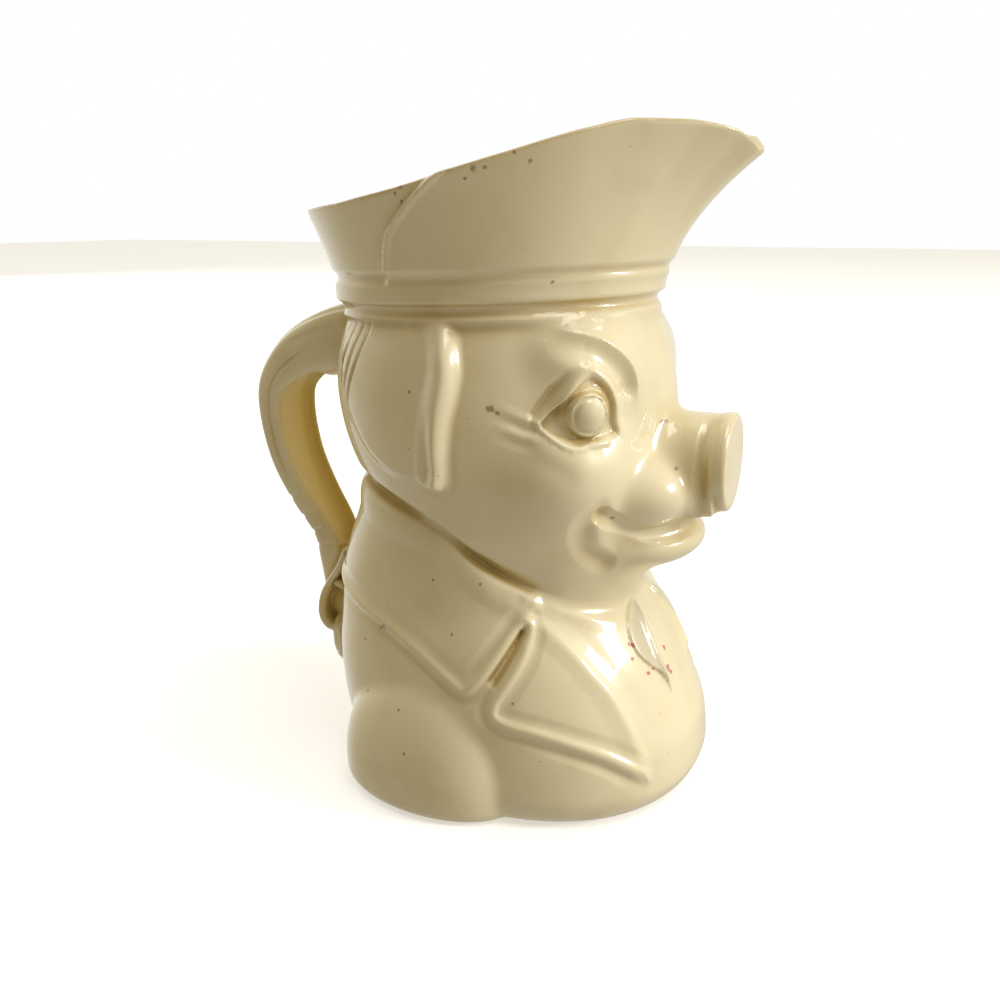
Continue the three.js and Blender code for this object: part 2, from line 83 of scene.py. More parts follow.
def through(knots):
    """A smooth monotone curve through (t, value) knots."""
    T = np.array([k[0] for k in knots], float)
    V = np.array([k[1] for k in knots], float)
    d = np.diff(V) / np.diff(T)
    m = np.zeros(len(T))
    m[0], m[-1] = d[0], d[-1]
    for i in range(1, len(T) - 1):
        m[i] = 0 if d[i - 1] * d[i] <= 0 else 2 * d[i - 1] * d[i] / (d[i - 1] + d[i])

    def value(t):
        t = np.clip(t, T[0], T[-1])
        i = np.clip(np.searchsorted(T, t, side="right") - 1, 0, len(T) - 2)
        h = T[i + 1] - T[i]
        u = (t - T[i]) / h
        return ((1 + 2 * u) * (1 - u) ** 2 * V[i] + u * (1 - u) ** 2 * h * m[i]
                + u * u * (3 - 2 * u) * V[i + 1] + u * u * (u - 1) * h * m[i + 1])
    return value


def outline(u, v, points):
    """Signed distance to a closed outline, negative inside."""
    d = np.full(np.shape(u), 1e9)
    s = np.ones(np.shape(u))
    for i, (ax, ay) in enumerate(points):
        bx, by = points[i - 1]
        ex, ey, wx, wy = bx - ax, by - ay, u - ax, v - ay
        t = np.clip((wx * ex + wy * ey) / (ex * ex + ey * ey), 0, 1)
        d = np.minimum(d, (wx - ex * t) ** 2 + (wy - ey * t) ** 2)
        c1, c2, c3 = v >= ay, v < by, ex * wy > ey * wx
        s = np.where((c1 & c2 & c3) | (~c1 & ~c2 & ~c3), -s, s)
    return s * np.sqrt(d)


def rounded(points, steps=6):
    """A line of given points softened into a Catmull-Rom curve through the same points."""
    P = np.array(points, float)
    Q = np.vstack([2 * P[0] - P[1], P, 2 * P[-1] - P[-2]])
    t = (np.arange(steps) / steps)[:, None]
    out = []
    for a, b, c, d in zip(Q[:-3], Q[1:-2], Q[2:-1], Q[3:]):
        out.append(0.5 * (2 * b + (c - a) * t + (2 * a - 5 * b + 4 * c - d) * t * t
                          + (3 * b - a - 3 * c + d) * t ** 3))
    return np.vstack([*out, P[-1:]])


def along(p, line):
    """Distance to an open line, and how far along it the nearest place is, from 0 to 1."""
    best = np.full(np.shape(p[0]), 1e9)
    where = np.zeros(np.shape(p[0]))
    lengths = np.linalg.norm(np.diff(line, axis=0), axis=1)
    start = np.concatenate([[0], np.cumsum(lengths)]) / lengths.sum()
    for i, (a, b) in enumerate(zip(line[:-1], line[1:])):
        e = b - a
        w = [q - c for q, c in zip(p, a)]
        t = np.clip(sum(q * c for q, c in zip(w, e)) / (e @ e), 0, 1)
        d = sum((q - c * t) ** 2 for q, c in zip(w, e))
        near = d < best
        best = np.where(near, d, best)
        where = np.where(near, start[i] + t * (start[i + 1] - start[i]), where)
    return np.sqrt(best), where


def tapered(way, first, last):
    """A line's strength: it rises over the first share of its length and fades over the last."""
    return np.clip(way / first, 0, 1) * np.clip((1 - way) / last, 0, 1)


def bead(d, w):
    """A smooth bump: 1 at distance 0, and 0 from w on."""
    t = np.clip(d / w, 0, 1)
    return (1 - t * t) ** 2


def crest(d, w):
    """A ridge with a fine edge and straight flanks."""
    return np.clip(1 - np.sqrt(d * d + 0.25) / w, 0, 1) ** 1.3


def step(d, w):
    """A smooth edge, w wide: 1 where d is negative, 0 where it is positive."""
    t = np.clip(0.5 - d / w, 0, 1)
    return t * t * (3 - 2 * t)


def egg(x, y, z, c, r, turn=0.0):
    """Near-distance to an ellipsoid of centre c and radii r, turned about Z by degrees."""
    x, y, z = x - c[0], y - c[1], z - c[2]
    ct, st = math.cos(math.radians(turn)), math.sin(math.radians(turn))
    x, y = x * ct + y * st, -x * st + y * ct
    k0 = np.sqrt((x / r[0]) ** 2 + (y / r[1]) ** 2 + (z / r[2]) ** 2)
    k1 = np.sqrt((x / r[0] ** 2) ** 2 + (y / r[1] ** 2) ** 2 + (z / r[2] ** 2) ** 2)
    return k0 * (k0 - 1) / (k1 + 1e-9)


def grown(f, x, y, z, forms):
    """The field with rounded forms joined on, each given as its centre, radii and blend."""
    for centre, radii, k in forms:
        f = join(f, egg(x, y, z, centre, radii), k)
    return f


def oval(u, v, a, b, n):
    """Near-distance to an oval of half-widths a and b; an n above 2 squares its corners."""
    pu, pv = np.abs(u) / a, np.abs(v) / b
    rho = (pu ** n + pv ** n + 1e-9) ** (1 / n)
    g = np.hypot(pu ** (n - 1) / a, pv ** (n - 1) / b) * rho ** (1 - n)
    return (rho - 1) / np.maximum(g, 1 / (1.3 * np.maximum(a, b)))


def ring(x, y, wide, front, back, n):
    """An oval round the jug's axis: its half-width, its reach forward and its reach back."""
    return oval(x, y - (back - front) / 2, wide, (back + front) / 2, n)


def plan_angle(x, y):
    """Degrees round the jug from straight ahead, the same to the left and to the right."""
    return np.degrees(np.arctan2(np.abs(x), -y))


# ---- the main forms, with their relief ----------------------------------------------------------
# The coat by height: half-width, reach forward and reach back.
coat_side = through([(0, 52), (10, 54.5), (30, 54), (50, 50.5), (66, 46), (84, 43.5), (98, 42.5)])
coat_front = through([(0, 61.5), (8, 65), (18, 64), (29, 60), (37, 56.5), (45, 52.8), (55, 46.5), (64, 40),
                      (72, 36.5), (84, 34)])
coat_back = through([(0, 53), (10, 56), (25, 59.5), (40, 60.5), (60, 59), (75, 55), (84, 51.5), (98, 48)])
# By plan angle: height of the collar's top edge, then the hat's rim and how its side curls out to it.
collar_top = through([(0, 66), (38, 67.5), (60, 70), (71, 73), (83, 78), (97, 86), (130, 94), (150, 96.5),
                      (180, 97)])
rim_height = through([(0, 193.8), (3, 194.3), (6, 196), (10, 198.3), (21, 200.1), (32, 200), (43, 197.8),
                      (64, 192), (80, 187.8), (95, 184), (110, 181.5), (124, 179.8), (152, 178.5),
                      (180, 178.5)])
rim_radius = through([(0, 78.4), (3, 78.1), (8, 76), (21, 67.8), (43, 59.6), (75, 54.6), (114, 55.4),
                      (152, 59), (180, 61.5)])
lip_curl = through([(0, 1.95), (25, 1.7), (60, 1.4), (180, 1.3)])
# Plan angle of the edge where the brim overlaps itself, by height.
overlap = through([(150, 108), (158, 107), (170, 103), (178, 95), (186, 85), (192, 78), (205, 62)])

# The coat's cloth is laid out flat: arc length at a radius of 52 mm, by height.
ARC = 52 * math.pi / 180
CLOTH_STEPS = 4


def cloth(points):
    """A line on the laid-out cloth from (plan angle, height) points."""
    return rounded([(a * ARC, h) for a, h in points], CLOTH_STEPS)


# the corded edge: round the collar from behind, up and down the notch, and down the lapel
CORD = cloth([(205, 66), (165, 63.5), (132, 59), (116, 55.5), (103, 50.5), (90, 43.5), (85, 41.5),
              (80.5, 45), (75, 52), (69.5, 58.5), (65.5, 62), (63.6, 60.5), (66, 54), (70.5, 47),
              (75.3, 40), (75.5, 35.5), (71, 33), (62, 31), (53, 28), (44, 24), (37, 19.5), (30, 13.5)])
NOTCH = 10 * CLOTH_STEPS        # where the collar's part of the cord ends and the lapel's starts
# the fold that the lapel rolls over, the shirt's edge, and the gap between collar and lapel
ROLL = cloth([(74, 68.5), (66, 65.5), (55, 59), (48, 53), (43, 47), (39, 42), (36, 36), (33.5, 29),
              (31.5, 22), (30, 16)])
SHIRT = cloth([(64, 69), (55, 65.5), (49, 63.3), (43, 61.8), (35, 59.5), (28, 58)])
SLOT = cloth([(75.5, 45), (72.4, 50), (69, 55), (66.2, 59)])
# the cloth that stands out: the whole collar and the lapel
COLLAR = np.vstack([[(210 * ARC, 110), (62 * ARC, 110), (60 * ARC, 66)], CORD[NOTCH::-1],
                    [(210 * ARC, 66)]])
LAPEL = np.vstack([ROLL[::-1], CORD[NOTCH:]])
# one half of the tie, shaped like a leaf, and the raised line down its inner side
LEAF = cloth([(7.9, 63.5), (15.5, 60.5), (21.4, 57.1), (24.2, 52.9), (23.3, 48.1), (19.8, 44.1),
              (15.9, 40.9), (13.6, 37.7), (12, 33.5), (12.4, 38.6), (13.4, 43.8), (13.3, 49.5),
              (11.9, 55.1), (7.9, 63.5)])[:-1]
LEAF_CREST = cloth([(8.2, 62.6), (11.3, 57), (13.3, 49.5), (13.4, 43.8), (12.4, 37.6), (12, 33.5)])


def plain_coat(x, y, z):
    return 0.97 * ring(x, y, coat_side(z), coat_front(z), coat_back(z), 2.25)


def coat_lift(x, y, z):
    """How far the dressed coat stands out from the plain one."""
    th = plan_angle(x, y)
    u = th * ARC
    cord, share = along((u, z), CORD)
    off_cloth = np.minimum(outline(u, z, COLLAR), outline(u, z, LAPEL))
    lift = step(off_cloth - 0.5, 4.5)
    side = cord * np.sign(off_cloth)
    grooves = 0.35 * bead(np.abs(side + 3.6), 2.6) + 0.4 * bead(np.abs(side - 3.2), 2.4)
    lift += np.clip((1 - share) / 0.03, 0, 1) * (0.7 * bead(cord, 2.6) - grooves)
    roll, way = along((u, z), ROLL)
    lift += crest(roll, 5.5) * tapered(way, 0.15, 0.2)
    lift += 0.7 * crest(along((u, z), SHIRT)[0], 3.5)
    slot, way = along((u, z), SLOT)
    lift -= (1.15 - 0.5 * way) * bead(slot, 2.5 - 0.9 * way)
    lift += step(outline(u, z, LEAF) + 0.3, 1.3)
    leaf_crest, way = along((u, z), LEAF_CREST)
    lift += 1.5 * crest(leaf_crest, 3) * tapered(way, 0.2, 0.25)
    hem = bead(np.abs(z - collar_top(th) + 4), 7) * np.clip((th - 60) / 20, 0, 1)
    return lift + 0.9 * hem


def coat(x, y, z):
    """Body and sleeves, open at the collar's top and flat below."""
    f = plain_coat(x, y, z)
    near = (f > -6) & (f < 9) & (z < 100) & (z > -2)
    f[near] -= coat_lift(x[near], y[near], z[near])
    f = cut(f, z - collar_top(plan_angle(x, y)), 2.5)
    sleeve = egg(x, y, z, (42, 12, 8), (19.5, 32, 36), 8)
    return cut(join(f, sleeve, 1.4), -z, 4)


# the head's rounded forms below its crown: centre, radii and blend
JAW_FORMS = (
    ((0, 1, 110), (49, 49, 40), 10),
    ((0, -6, 98), (44, 46, 30), 10),
    ((0, -5, 89), (44.5, 45.5, 17.5), 8),
    ((0, -4, 80), (37, 41, 18), 6))


def plain_head(x, y, z):
    """The head without its features, on a short neck inside the collar."""
    crown = egg(x, y, z, (0, 5.5, 126), (50, 54.5, 50))
    neck = np.maximum(ring(x, y, 40.5, 42.5, 46, 2.2), np.abs(z - 72) - 14)
    return join(grown(crown, x, y, z, JAW_FORMS), neck, 8)


# The eye is laid out from the middle of the iris: u toward the temple, v up.
IRIS = (36.3, -34.2, 124.6)
TO_TEMPLE = (0.682, 0.731)
# the brow's edge and what lies under it, the upper lid and the groove over it, the opening
BROW_EDGE = rounded([(9, 23.5), (4, 22.2), (-1, 21.2), (-5.5, 19.8), (-10, 17.1), (-13.6, 14.2),
                     (-16.3, 10.8), (-17.8, 7), (-18.2, 3), (-16.5, -1)])
UNDER_BROW = np.vstack([BROW_EDGE, [(-13, -4), (-12, 8), (0, 14), (12, 3), (24, 6), (24, 24)]])
LID = rounded([(13.2, -1.6), (9.2, 2.8), (6, 6.8), (2.8, 10.2), (-0.6, 12), (-4.2, 10.4), (-7.6, 6.6),
               (-9.6, 2.4), (-10.2, -1.6), (-11.6, -5), (-13.2, -8.6)])
LID_GROOVE = rounded([(13.8, -0.2), (10.9, 3.8), (8, 7.9), (4.6, 12)])
OPENING = rounded([(12.4, -2.2), (8.6, 1.6), (5.4, 5), (2.4, 8), (-0.8, 9.4), (-4.2, 8.2), (-6.8, 5),
                   (-8.1, 1), (-8.8, -2.8), (-9.8, -6.4), (-5, -6.8), (-1, -7), (3, -7.6), (6.6, -6.9),
                   (10, -4.6), (12.4, -2.2)], 4)[:-1]
# ridge, groove, ridge and groove that spread from the outer corner, each with its height
CROWS_FEET = (
    (rounded([(12.8, -2), (17, -1), (22, 1.6), (25, 3)]), 0.4),
    (rounded([(13.2, -4.2), (17, -3.2), (22, -1.6), (26, -1)]), -0.4),
    (rounded([(13, -6.4), (17, -6), (21.5, -4.2), (25, -3.6)]), 0.35),
    (rounded([(14, -8.6), (18, -8), (23, -6.4), (26, -6)]), -0.25))
LOWER_LID = rounded([(13.4, -3), (10.2, -5.8), (6.8, -8.2), (3, -9), (-1.5, -8.2), (-6, -8)])


def eye_lift(u, v):
    """Relief round the eye, outward from the plain face."""
    brow, way = along((u, v), BROW_EDGE)
    hollow_under = 1.5 * bead(np.abs(brow - 4.4), 5) * step(outline(u, v, UNDER_BROW) - 0.5, 3)
    lift = tapered(way, 0.25, 0.2) * (crest(brow, 5) - hollow_under)
    lid, way = along((u, v), LID)
    lift += 1.2 * bead(lid, 2.6 - 0.5 * bead(way, 0.4)) * np.clip((1 - way) / 0.25, 0.1, 1)
    groove, way = along((u, v), LID_GROOVE)
    lift -= 0.9 * bead(groove, 2.1) * np.clip((1 - way) / 0.4, 0, 1)
    lift += 0.45 * bead(along((u, v), LOWER_LID)[0], 1.5)
    lift -= step(outline(u, v, OPENING) + 0.1, 2.4)
    r = np.hypot(u / 0.97, v / 1.03)        # the iris: a raised disc, the ring in it and the pupil
    lift += 1.5 * step(r - 6, 1.5) - 0.6 * bead(np.abs(r - 4.7), 1.1) + 0.45 * bead(r, 4.4)
    for line, height in CROWS_FEET:
        d, way = along((u, v), line)
        lift += height * bead(d, 2.3) * tapered(way, 0.2, 0.6)
    return lift


# the line of the mouth, the cheek's front edge, and the crease and fold at the mouth's corner
MOUTH = rounded([(0, -62, 88), (9, -60, 87.2), (16, -56, 86.6), (22, -51, 87.4), (28, -45.5, 90.2),
                 (33.5, -41.5, 94), (35.5, -40, 95.8)])
CHEEK_EDGE = rounded([(47.5, -21, 118.5), (44.5, -28.7, 116), (41.5, -34.5, 111.5), (39.8, -38.5, 106)])
SMILE = rounded([(36.5, -38.5, 98.5), (39, -36, 94), (37.5, -35, 89), (33, -35, 84), (28, -38, 79.5)])
SMILE_FOLD = rounded([(35.5, -39.5, 91.5), (33.5, -38.5, 87.5), (30, -39, 83.5)])


# the face's rounded forms: centre, radii and blend
FACE_FORMS = (
    ((27, -24, 105), (20, 20, 19), 8),          # cheek
    ((0, -38, 100), (27, 22, 13), 8),           # muzzle
    ((15, -45, 98), (13.5, 14, 10.5), 4),       # upper lip pads
    ((0, -47, 96.5), (17, 19.5, 8), 5),         # lip under the snout
    ((0, -39, 81.5), (26, 22.5, 9.5), 5),       # lower lip and chin
    ((0, -24, 78), (32, 22, 13), 9),            # under the chin
    ((21, -28, 138), (18, 12, 11), 10),         # brow
    ((31.5, -32, 125.5), (11, 9, 11.5), 2))     # eyeball


def face(x, y, z):
    """The head with cheeks, brows, eyes, mouth and chin."""
    f = grown(plain_head(x, y, z), x, y, z, FACE_FORMS)
    near = (f > -6) & (f < 9) & (y < 0) & (z > 70) & (z < 160)
    X, Y, Z = x[near], y[near], z[near]
    u = (X - IRIS[0]) * TO_TEMPLE[0] + (Y - IRIS[1]) * TO_TEMPLE[1]
    g = f[near] - eye_lift(u, Z - IRIS[2]) * np.clip((X - 8) / 8, 0, 1)
    g += 2.6 * bead(along((X, Y, Z), MOUTH)[0], 3.4)
    g += 0.8 * bead(along((X, Y, Z), SMILE)[0], 5) - 0.4 * bead(along((X, Y, Z), SMILE_FOLD)[0], 4.5)
    cheek, way = along((X, Y, Z), CHEEK_EDGE)
    g -= 0.8 * bead(cheek, 6) * step(np.abs(way - 0.5) - 0.35, 0.3)
    f[near] = g
    return f


# the lop ear seen from the side, as Y by Z: its outline, then the lines of its relief
EAR = rounded([(4, 156), (0.5, 148), (-1.8, 141), (-2.7, 135), (-2.1, 128), (-0.8, 121), (0, 112),
               (0.4, 104.5), (2, 101.6), (5, 101.6), (12, 102.4), (20, 103.4), (27, 106), (34, 111),
               (42, 122), (48, 138), (46, 156), (3, 156)], 4)[:-1]
EAR_RIDGE = rounded([(6, 151), (2.4, 144.5), (0.9, 138), (0.9, 133), (1.9, 128), (2.9, 123), (3.2, 116),
                     (3.2, 109), (3.6, 103.5)])
EAR_VALLEY = rounded([(4.5, 131), (5.4, 126), (6.2, 119), (6.2, 112), (6, 106)])
EAR_FOLD = rounded([(6.6, 127), (7.6, 121), (8.2, 114), (8.8, 106.5)])
EAR_HEM = rounded([(4, 103.2), (12, 103.8), (20, 105.2), (27, 107.6), (33, 112)])


def ear(x, y, z):
    """A flap over the side of the head: a ridge in front, a hem below, and melting away behind."""
    base = plain_head(x, y, z)
    f = np.full(np.shape(x), FAR)
    near = (x > 20) & (base < 14) & (z > 95) & (z < 160) & (y > -14) & (y < 54)
    Y, Z = y[near], z[near]
    back, top = step(Y - 29, 32), step(Z - 147, 18)
    lift = 1.9 * back + (3.1 - 0.6 * step(Z - 128, 30)) * bead(along((Y, Z), EAR_RIDGE)[0], 6.8)
    lift += 0.8 * bead(along((Y, Z), EAR_HEM)[0], 5) * back
    valley, way = along((Y, Z), EAR_VALLEY)
    lift -= 1.3 * bead(valley, 3.6) * step(0.35 - way, 0.7)
    fold, way = along((Y, Z), EAR_FOLD)
    lift += 0.6 * bead(fold, 2.4) * step(0.3 - way, 0.6)
    lift -= 0.9 * bead(np.hypot(Y - 14, (Z - 124) * 0.7), 13)
    f[near] = cut(base[near] - lift * top, outline(Y, Z, EAR), 4.5)
    return f


def crown_radius(th):
    """The hat's radius at its foot: an oval of half-widths 47 and 51."""
    return 1 / np.hypot(np.sin(np.radians(th)) / 47, np.cos(np.radians(th)) / 51)


def hat_radius(th, z):
    foot = crown_radius(th)
    u = np.clip((z - HAT_FOOT) / (rim_height(th) - HAT_FOOT), 0, 1.2)
    return foot + (rim_radius(th) - foot) * u ** lip_curl(th)


def hat(x, y, z):
    """Crown that flares into the lip, its overlap, and the band with a groove over and under it."""
    th, rho = plan_angle(x, y - HAT_CENTRE), np.hypot(x, y - HAT_CENTRE)
    d = (th - overlap(z)) * 0.9
    lap = 1.5 * np.clip(0.5 - d / 2.2, 0, 1) + 0.5 * bead(np.abs(d + 1.6), 2.2)
    lap = lap * np.clip((z - 157) / 4, 0, 1)
    crown = cut(0.84 * (rho - hat_radius(th, z) - lap), 146 - z, 4)
    from_band = z - HAT_BAND + 0.04 * y
    band = cut(rho - crown_radius(th) - 1, np.abs(from_band) - 3, 2)
    f = join(crown, band, 1)
    return f + 0.9 * bead(np.abs(from_band - 4.6), 2.4) + 1.1 * bead(np.abs(from_band + 4.6), 2.6)


def snout(x, y, z):
    """Barrel, groove and flat-faced disc about the snout's own axis."""
    r = np.hypot(x, z - SNOUT_AXIS)
    around = np.hypot(x, np.maximum(z - SNOUT_AXIS, (SNOUT_AXIS - z) * 0.62))
    side = np.clip(1.25 * np.abs(x) / np.maximum(r, 1e-6) - 0.25, 0, 1)
    barrel = around - 14.3 + 1.5 * side * bead(np.abs(y + 62.6), 2.6)
    barrel = np.maximum(cut(barrel, np.maximum(-y - 66, y + 36), 1), SNOUT_FOOT - z)
    disc = cut(r - 14.9, np.abs(y + 67.4) - 2.1, 1.8)
    return join(cut(barrel, SNOUT_FOOT - z, 3), disc, 1)


# the queue: Y, Z, half-width across, half-thickness
QUEUE = rounded([(45, 139, 12, 12), (63.7, 136.2, 12, 11.8), (79.5, 130.3, 12, 10),
                 (89.4, 120.5, 12, 7.7), (91, 109, 12, 6.7), (87.9, 93.5, 11.6, 6.2),
                 (81.4, 80.2, 10.6, 5.8), (73.6, 68, 9.2, 5.6), (70.4, 57, 8.8, 6.8),
                 (69.5, 47, 8, 6.5)], 5)
QUEUE_LENGTH = np.linalg.norm(np.diff(QUEUE[:, :2], axis=0), axis=1).sum()
CHANNEL_DEPTH = 7.0
CHANNEL_RIM = 2.3       # width of the clay left beside the channel
CHANNEL_ENDS = (0.17, 0.87)     # shares of the queue's length
WRAPS = (0.63, 0.69, 0.745, 0.80)       # places of the ribbon's turns round the queue, as shares


def queue_place(y, z):
    """Nearest place on the queue's path: share of the way, half-sizes, and offset outward."""
    best = np.full(np.shape(y), 1e9)
    share, wide, thick, off = (np.zeros(np.shape(y)) for _ in range(4))
    n = len(QUEUE) - 1
    for i in range(n):
        a, b = QUEUE[i], QUEUE[i + 1]
        e = b[:2] - a[:2]
        length = math.hypot(*e)
        t = np.clip(((y - a[0]) * e[0] + (z - a[1]) * e[1]) / length ** 2, 0, 1)
        dy, dz = y - a[0] - e[0] * t, z - a[1] - e[1] * t
        d = np.hypot(dy, dz)
        near = d < best
        best = np.where(near, d, best)
        share = np.where(near, (i + t) / n, share)
        wide = np.where(near, a[2] + (b[2] - a[2]) * t, wide)
        thick = np.where(near, a[3] + (b[3] - a[3]) * t, thick)
        off = np.where(near, d * np.sign(dz * e[0] - dy * e[1]), off)
    return share, wide, thick, off


def channel(x, wide, thick, share, off):
    """The deep groove along the queue's inner side, rounded off at both ends."""
    f = oval(x, off + thick, wide - CHANNEL_RIM, CHANNEL_DEPTH, 2.8)
    first, last = CHANNEL_ENDS
    return cut(f, QUEUE_LENGTH * np.maximum(first - share, share - last), 4)


def queue(x, y, z):
    """The handle: combed hair above, wound with ribbon below, hollowed along its inner side."""
    f = np.full(np.shape(x), FAR)
    near = (x < 24) & (y > 30) & (z > 30) & (z < 162)
    X = x[near]
    share, wide, thick, off = queue_place(y[near], z[near])
    g = oval(X, off, wide, thick, 2.9)
    hair = step(share - 0.6, 0.06)
    side = step(6 - X, 3)
    strand = bead(np.abs(off - 0.2), 1.3) * side * step(0.2 - share, 0.08)
    strand += 0.4 * bead(np.abs(off - 4.6), 1.5) * side * step(share - 0.22, 0.08)
    comb = bead(np.abs((X + 2.1) % 4.2 - 2.1), 1.5) * np.clip(off - 2, 0, 1)
    g += hair * (0.8 * strand + 0.35 * comb)
    wraps = sum(bead(np.abs(share - s - 0.003 * X), 0.013) for s in WRAPS)
    g += 0.4 * wraps * step(-off - 1, 4)
    f[near] = cut(g, -channel(X, wide, thick, share, off), 1.6)
    return f


# the ribbon as Y by Z: its band from the knot round the loop, and the ridge down its tail
BAND = rounded([(60, 63.5), (62.5, 58), (66.5, 52), (69.5, 47), (71, 42), (70.8, 37.5), (68.5, 34.5),
                (65, 34.6), (61.5, 36.5), (59, 41), (58.5, 46.5), (60.5, 50), (64, 51.5)])
TAIL_RIDGE = rounded([(65.3, 37.1), (62.6, 33), (62, 28), (63.5, 24)])


def bow(x, y, z):
    """Knot, the web that joins it to the coat, loop and tail."""
    knot = egg(x, y, z, (0, 61, 53), (8, 12, 10))
    web = egg(x, y, z, (8, 57, 51), (6.5, 6, 13.5))
    f = join(knot, web, 3)
    near = (x < 26) & (y > 44) & (y < 82) & (z > 14) & (z < 74)
    X, Y, Z = x[near], y[near], z[near]
    band = along((Y, Z), BAND)[0]
    g = cut(band - 1.5, np.abs(X - 10.5) - 5.2, 2.2)
    g = join(g, egg(X, Y, Z, (6.5, 64, 43), (5.5, 8, 9.5)), 1.5)
    tail = egg(X, Y, Z, (9.5, 63.5, 30), (6.2, 5.2, 10.5))
    tail = tail - 0.8 * bead(along((Y, Z), TAIL_RIDGE)[0], 2)
    f[near] = join(f[near], join(g, tail, 1.2), 1.5)
    return f


# strands of hair that run from under the band over the side of the head into the queue
STRANDS = [rounded(s) for s in (
    [(31, 44.5, 152), (33.5, 41.5, 147), (32.5, 45, 141), (29.7, 48, 136)],
    [(34, 41, 152), (36.9, 37.5, 147), (36.5, 40.5, 141), (34.9, 43, 136), (34, 45, 128)],
    [(37, 37, 152), (39.2, 33.5, 147), (39.6, 36, 141), (38.8, 38.5, 136.5), (37.5, 42, 128),
     (36, 44.5, 122)],
    [(40, 32, 152), (41.6, 30, 147), (42.3, 31.5, 142), (41.8, 34, 137), (40, 38.5, 128),
     (38.5, 41, 121)])]


def skin(x, y, z):
    """The jug's outside, one half mirrored to the other."""
    x = np.abs(x)
    head = join(face(x, y, z), ear(x, y, z), 1.6)
    near = (np.abs(head) < 6) & (y > 26) & (z > 115)
    hair = sum(bead(along((x[near], y[near], z[near]), s)[0], 1.3) for s in STRANDS)
    head[near] += 0.7 * hair
    th = plan_angle(x, y)
    head += 1.5 * bead(np.abs(z - collar_top(th) - 1), 4.5) * np.clip((th - 50) / 30, 0, 1)
    head = join(head, snout(x, y, z), 5)
    f = join(join(coat(x, y, z), head, 1.6), hat(x, y, z), 1.2)
    f = join(join(f, queue(x, y, z), 3), bow(x, y, z), 1.5)
    return cut(f, 0.93 * (z - rim_height(plan_angle(x, y - HAT_CENTRE))), 1.8)


def hollow(x, y, z):
    """The inside: the plain forms a wall's thickness in, run into one another."""
    radius = hat_radius(plan_angle(x, y - HAT_CENTRE), z) - HAT_WALL
    in_hat = np.maximum(0.84 * (np.hypot(x, y - HAT_CENTRE) - radius), 150 - z)
    in_head = np.maximum(plain_head(x, y, z) + WALL, z - 154)
    in_coat = cut(plain_coat(x, y, z) + WALL, z - 78, 6)
    return cut(join(join(in_coat, in_head, 8), in_hat, 5), BASE - z, 4)


def jug(x, y, z):
    """The whole jug on its flat foot."""
    return cut(cut(skin(x, y, z), -hollow(x, y, z), 1.8), -z, 0.5)


# ---- meshing ------------------------------------------------------------------------------------
CORNERS = np.array([(i, j, k) for i in (0, 1) for j in (0, 1) for k in (0, 1)])
MOST_CELLS = 4096       # more than there are along any side
MESHED = ((-66, -74, -1.5), (66, 104, 202.5))       # the box that is meshed, a little over the jug's


def cells_near(field, low, high, size, levels):
    """Cells of the finest size that may hold the surface, found by halving coarse ones."""
    size = size * 2 ** levels
    counts = np.ceil((high - low) / size).astype(int)
    cells = np.stack(np.meshgrid(*[np.arange(n) for n in counts], indexing="ij"), -1).reshape(-1, 3)
    for level in range(levels + 1):
        mid = low + (cells + 0.5) * size
        f = field(*mid.T)
        cells = cells[np.abs(f) < size * (1.9 if level < levels else 1.5) + 0.5]
        if level < levels:
            cells = (cells[:, None] * 2 + CORNERS[None]).reshape(-1, 3)
            size /= 2
    return cells


def key_of(cells):
    """One whole number for each cell's three."""
    return (cells[..., 0].astype(np.int64) * MOST_CELLS + cells[..., 1]) * MOST_CELLS + cells[..., 2]


def surface(field, low, high, size, levels=4):
    """A quad surface of the field's zero, one vertex to a cell that the surface crosses."""
    low, high = np.array(low, float), np.array(high, float)
    cells = cells_near(field, low, high, size, levels)
    keys, back = np.unique(key_of(cells[:, None] + CORNERS[None]).ravel(), return_inverse=True)
    corners = np.stack([keys // MOST_CELLS ** 2, keys // MOST_CELLS % MOST_CELLS, keys % MOST_CELLS], -1)
    points = low + corners * size
    value = field(*points.T)[back].reshape(-1, 8)
    inside = value < 0
    crossed = inside.any(1) & ~inside.all(1)
    cells, value, inside = cells[crossed], value[crossed], inside[crossed]
    total, count = np.zeros((len(cells), 3)), np.zeros(len(cells))
    for a in range(8):
        for b in (a | 1, a | 2, a | 4):
            if b == a:
                continue
            m = inside[:, a] != inside[:, b]
            t = np.where(m, value[:, a] / np.where(m, value[:, a] - value[:, b], 1), 0)
            total += (CORNERS[a] + (CORNERS[b] - CORNERS[a]) * t[:, None]) * m[:, None]
            count += m
    verts = low + (cells + total / count[:, None]) * size
    keys = key_of(cells)
    order = np.argsort(keys)
    keys = keys[order]

    def vertex(c):
        k = key_of(c)
        i = np.clip(np.searchsorted(keys, k), 0, len(keys) - 1)
        return np.where(keys[i] == k, order[i], -1)

    quads = []
    for axis, far in enumerate((4, 2, 1)):
        m = inside[:, 0] != inside[:, far]
        u, v = np.zeros(3, int), np.zeros(3, int)
        u[(axis + 1) % 3], v[(axis + 2) % 3] = 1, 1
        c = cells[m]
        q = np.stack([vertex(c), vertex(c - u), vertex(c - u - v), vertex(c - v)], -1)
        whole = (q >= 0).all(1)
        q, out = q[whole], inside[m, 0][whole]
        quads.append(np.where(out[:, None], q, q[:, ::-1]))
    for _ in range(2):
        verts = settle(field, verts, 0.35 * size)
    return verts, np.concatenate(quads)


